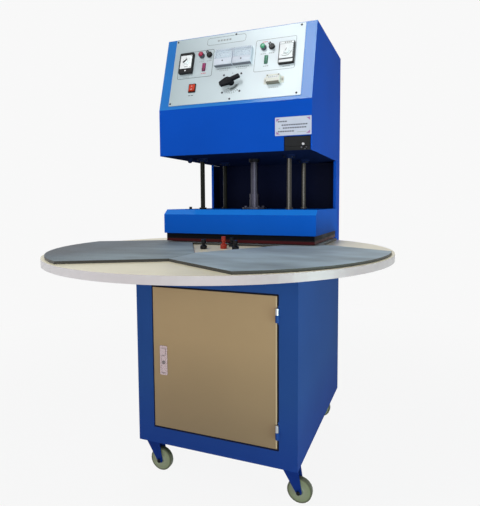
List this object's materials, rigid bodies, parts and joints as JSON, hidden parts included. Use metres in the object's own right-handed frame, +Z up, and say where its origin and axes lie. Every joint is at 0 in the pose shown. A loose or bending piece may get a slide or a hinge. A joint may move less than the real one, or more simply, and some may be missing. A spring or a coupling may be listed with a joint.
{
  "type": "blister sealing machine",
  "caption": "Upright blister sealing machine: cabinet on casters, turntable with grey mats, heated press on guide posts, and a head with a sloped control panel.",
  "frame": {"origin": "on the floor, under the middle of the machine's bounding box", "axes": "+Z up, the control panel and the door face -Y, +X is to the right of a person who faces them"},
  "size_m": [1.024, 1.052, 1.434],
  "materials": {
    "painted_steel": "smooth gloss blue powder coat",
    "door_paint": "fine-textured bronze-brown powder coat",
    "dark_steel": "blackened steel",
    "bright_steel": "machined",
    "aluminium": "satin anodised",
    "chrome": "plated",
    "panel_laminate": "satin white faced sheet",
    "laminated_board": "laminate-faced board, cream top and white edge band",
    "mat_rubber": "matt, cloth-faced",
    "silicone": "matt silicone",
    "black_plastic": "moulded",
    "red_plastic": "moulded, gloss",
    "green_plastic": "moulded, gloss",
    "meter_plastic": "clear and white moulded plastic",
    "caster_tyre": "polyurethane, grey-green"
  },
  "bodies": {
    "frame": {"cabinet": "painted_steel", "deck": "painted_steel", "column": "painted_steel", "head_housing": "painted_steel", "rear_cover": "painted_steel", "head_plate": "dark_steel", "valve_block": "black_plastic", "air_cylinder": "aluminium", "control_panel": "panel_laminate", "meter_left": "meter_plastic", "meter_right": "meter_plastic", "timer": "black_plastic", "thermostat": "black_plastic", "stop_bezel": "aluminium", "start_bezel": "aluminium", "red_lamp": "red_plastic", "green_lamp": "green_plastic", "power_switch_frame": "black_plastic", "cycle_counter": "aluminium", "cable_gland": "black_plastic", "air_inlet": "bright_steel", "component_tray": "bright_steel", "spindle_bearing": "dark_steel", "anvil": "bright_steel"},
    "press": {"press_cover": "painted_steel", "platen": "bright_steel", "heater_plate": "dark_steel", "silicone_pad": "silicone", "ram": "bright_steel"},
    "turntable": {"table_board": "laminated_board", "mat_1": "mat_rubber", "mat_2": "mat_rubber", "mat_3": "mat_rubber", "spindle": "bright_steel", "spindle_cap": "red_plastic", "hub_knob_1": "black_plastic", "hub_knob_2": "black_plastic", "hub_knob_3": "black_plastic"},
    "cabinet_door": {"door": "door_paint", "lock_body": "chrome"},
    "lock_button": {"lock_button": "chrome"},
    "lock_lever": {"lock_lever": "chrome"},
    "stop_button": {"stop_button": "red_plastic"},
    "start_button": {"start_button": "green_plastic"},
    "selector_left": {"selector_knob_left": "black_plastic"},
    "selector_right": {"selector_knob_right": "black_plastic"},
    "timer_knob": {"timer_knob": "black_plastic"},
    "thermostat_knob": {"thermostat_knob": "black_plastic"},
    "power_rocker": {"power_rocker": "red_plastic"},
    "range_handle": {"range_handle": "black_plastic"},
    "throttle_knob": {"throttle_knob": "chrome"},
    "swivel_front_left": {"caster_fork_front_left": "painted_steel"},
    "wheel_front_left": {"caster_wheel_front_left": "caster_tyre"},
    "swivel_front_right": {"caster_fork_front_right": "painted_steel"},
    "wheel_front_right": {"caster_wheel_front_right": "caster_tyre"},
    "swivel_rear_left": {"caster_fork_rear_left": "painted_steel"},
    "wheel_rear_left": {"caster_wheel_rear_left": "caster_tyre"},
    "swivel_rear_right": {"caster_fork_rear_right": "painted_steel"},
    "wheel_rear_right": {"caster_wheel_rear_right": "caster_tyre"}
  },
  "joints": [
    {"name": "press_stroke", "type": "slide", "parent": "frame", "child": "press", "axis": [0, 0, 1], "range_m": [-0.0028, 0.08]},
    {"name": "table_turn", "type": "hinge", "parent": "frame", "child": "turntable", "pos_m": [0, -0.014, 0.73], "axis": [0, 0, 1], "continuous": true},
    {"name": "door_swing", "type": "hinge", "parent": "frame", "child": "cabinet_door", "pos_m": [0.2055, -0.1063, 0.39], "axis": [0, 0, 1], "range_deg": [0, 110]},
    {"name": "lock_press", "type": "slide", "parent": "cabinet_door", "child": "lock_button", "axis": [0, 1, 0], "range_m": [0, 0.003], "stiffness_N_per_m": 800},
    {"name": "lock_lever_pull", "type": "hinge", "parent": "cabinet_door", "child": "lock_lever", "pos_m": [-0.168, -0.101, 0.3951], "axis": [-1, 0, 0], "range_deg": [0, 25], "stiffness_Nm_per_rad": 0.02},
    {"name": "stop_press", "type": "slide", "parent": "frame", "child": "stop_button", "axis": [0, 0.964, -0.2661], "range_m": [0, 0.003], "stiffness_N_per_m": 1000},
    {"name": "start_press", "type": "slide", "parent": "frame", "child": "start_button", "axis": [0, 0.964, -0.2661], "range_m": [0, 0.003], "stiffness_N_per_m": 1000},
    {"name": "selector_left_turn", "type": "hinge", "parent": "frame", "child": "selector_left", "pos_m": [-0.0955, 0.09371, 1.36302], "axis": [0, -0.964, 0.2661], "range_deg": [-70, 0]},
    {"name": "selector_right_turn", "type": "hinge", "parent": "frame", "child": "selector_right", "pos_m": [0.1235, 0.09371, 1.36302], "axis": [0, -0.964, 0.2661], "range_deg": [-70, 0]},
    {"name": "timer_set", "type": "hinge", "parent": "frame", "child": "timer_knob", "pos_m": [-0.1765, 0.07849, 1.34544], "axis": [0, -0.964, 0.2661], "range_deg": [-150, 150]},
    {"name": "thermostat_set", "type": "hinge", "parent": "frame", "child": "thermostat_knob", "pos_m": [0.1755, 0.07702, 1.34014], "axis": [0, -0.964, 0.2661], "range_deg": [-150, 150]},
    {"name": "rocker_tip", "type": "hinge", "parent": "frame", "child": "power_rocker", "pos_m": [-0.146, 0.06382, 1.25094], "axis": [1, 0, 0], "range_deg": [0, 16]},
    {"name": "range_turn", "type": "hinge", "parent": "frame", "child": "range_handle", "pos_m": [-0.004, 0.06418, 1.25602], "axis": [0, -0.964, 0.2661], "range_deg": [-150, 150]},
    {"name": "throttle_turn", "type": "hinge", "parent": "frame", "child": "throttle_knob", "pos_m": [0.24, 0.0478, 1.0485], "axis": [0, 1, 0], "continuous": true},
    {"name": "swivel_front_left", "type": "hinge", "parent": "frame", "child": "swivel_front_left", "pos_m": [-0.2335, -0.064, 0.1], "axis": [0, 0, 1], "continuous": true},
    {"name": "roll_front_left", "type": "hinge", "parent": "swivel_front_left", "child": "wheel_front_left", "pos_m": [-0.205, -0.064, 0.0375], "axis": [0, 1, 0], "continuous": true},
    {"name": "swivel_front_right", "type": "hinge", "parent": "frame", "child": "swivel_front_right", "pos_m": [0.2335, -0.064, 0.1], "axis": [0, 0, 1], "continuous": true},
    {"name": "roll_front_right", "type": "hinge", "parent": "swivel_front_right", "child": "wheel_front_right", "pos_m": [0.262, -0.064, 0.0375], "axis": [0, 1, 0], "continuous": true},
    {"name": "swivel_rear_left", "type": "hinge", "parent": "frame", "child": "swivel_rear_left", "pos_m": [-0.2335, 0.473, 0.1], "axis": [0, 0, 1], "continuous": true},
    {"name": "roll_rear_left", "type": "hinge", "parent": "swivel_rear_left", "child": "wheel_rear_left", "pos_m": [-0.262, 0.473, 0.0375], "axis": [0, 1, 0], "continuous": true},
    {"name": "swivel_rear_right", "type": "hinge", "parent": "frame", "child": "swivel_rear_right", "pos_m": [0.2335, 0.473, 0.1], "axis": [0, 0, 1], "continuous": true},
    {"name": "roll_rear_right", "type": "hinge", "parent": "swivel_rear_right", "child": "wheel_rear_right", "pos_m": [0.205, 0.473, 0.0375], "axis": [0, 1, 0], "continuous": true}
  ]
}
